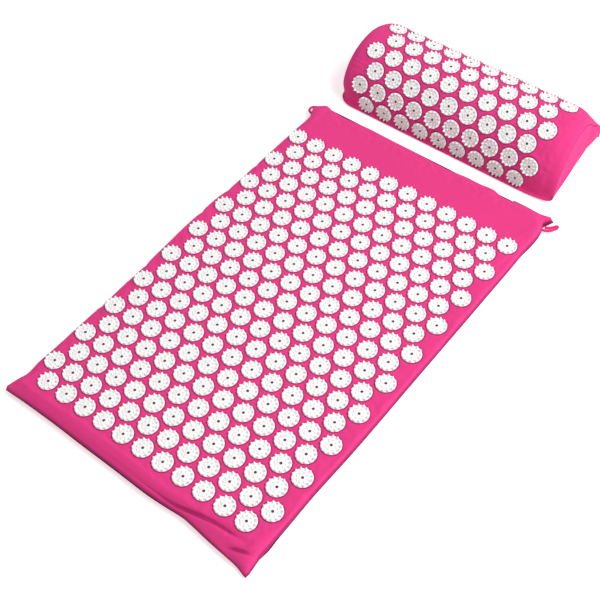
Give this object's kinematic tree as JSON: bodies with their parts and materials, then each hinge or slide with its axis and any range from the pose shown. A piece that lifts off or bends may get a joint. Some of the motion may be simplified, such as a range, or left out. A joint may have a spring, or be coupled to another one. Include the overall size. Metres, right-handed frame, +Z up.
{
  "type": "acupressure mat",
  "caption": "Flat padded acupressure mat covered in round spiked discs, with hanging loops and a zip, and a loose half-round neck pillow covered in the same discs.",
  "frame": {"origin": "centre of the mat's underside", "axes": "+X across the mat, +Y along the mat towards the pillow, +Z up"},
  "size_m": [0.4168, 0.8244, 0.0852],
  "materials": {
    "cotton": "matt woven cotton",
    "foam": "open-cell foam",
    "zip_tape": "woven polyester tape",
    "zip_coil": "nylon coil",
    "zip_metal": "nickel plated",
    "disc_plastic": "moulded white plastic"
  },
  "bodies": {
    "mat": {"mat_top_panel": "cotton", "mat_bottom_panel": "cotton", "mat_foam_core": "foam", "mat_loop_left": "cotton", "mat_loop_right": "cotton", "mat_zip_tape_upper": "zip_tape", "mat_zip_tape_lower": "zip_tape", "mat_zip_coil_upper": "zip_coil", "mat_zip_coil_lower": "zip_coil", "mat_zip_top_stop_upper": "zip_metal", "mat_zip_top_stop_lower": "zip_metal", "mat_zip_bottom_stop": "zip_metal"},
    "mat_slider": {"mat_zip_slider": "zip_metal"},
    "mat_pull": {"mat_zip_pull": "zip_metal"},
    "pillow": {"pillow_top_panel": "cotton", "pillow_base_panel": "cotton", "pillow_end_left": "cotton", "pillow_end_right": "cotton", "pillow_foam_core": "foam", "pillow_zip_tape_upper": "zip_tape", "pillow_zip_tape_lower": "zip_tape", "pillow_zip_coil_upper": "zip_coil", "pillow_zip_coil_lower": "zip_coil", "pillow_zip_top_stop_upper": "zip_metal", "pillow_zip_top_stop_lower": "zip_metal", "pillow_zip_bottom_stop": "zip_metal"},
    "pillow_slider": {"pillow_zip_slider": "zip_metal"},
    "pillow_pull": {"pillow_zip_pull": "zip_metal"}
  },
  "joints": [
    {"name": "pillow_lift", "type": "slide", "parent": "mat", "child": "pillow", "axis": [0, 0, 1], "range_m": [0, 0.25]},
    {"name": "mat_zip_run", "type": "slide", "parent": "mat", "child": "mat_slider", "axis": [1, 0, 0], "range_m": [-0.3115, 0]},
    {"name": "mat_pull_turn", "type": "hinge", "parent": "mat_slider", "child": "mat_pull", "pos_m": [0.15575, 0.31949, 0.0105], "axis": [0, 0, -1], "range_deg": [0, 180]},
    {"name": "pillow_zip_run", "type": "slide", "parent": "pillow", "child": "pillow_slider", "axis": [1, 0, 0], "range_m": [-0.2755, 0]},
    {"name": "pillow_pull_turn", "type": "hinge", "parent": "pillow_slider", "child": "pillow_pull", "pos_m": [0.12475, 0.50504, 0.013], "axis": [0, 0, -1], "range_deg": [0, 180]}
  ]
}
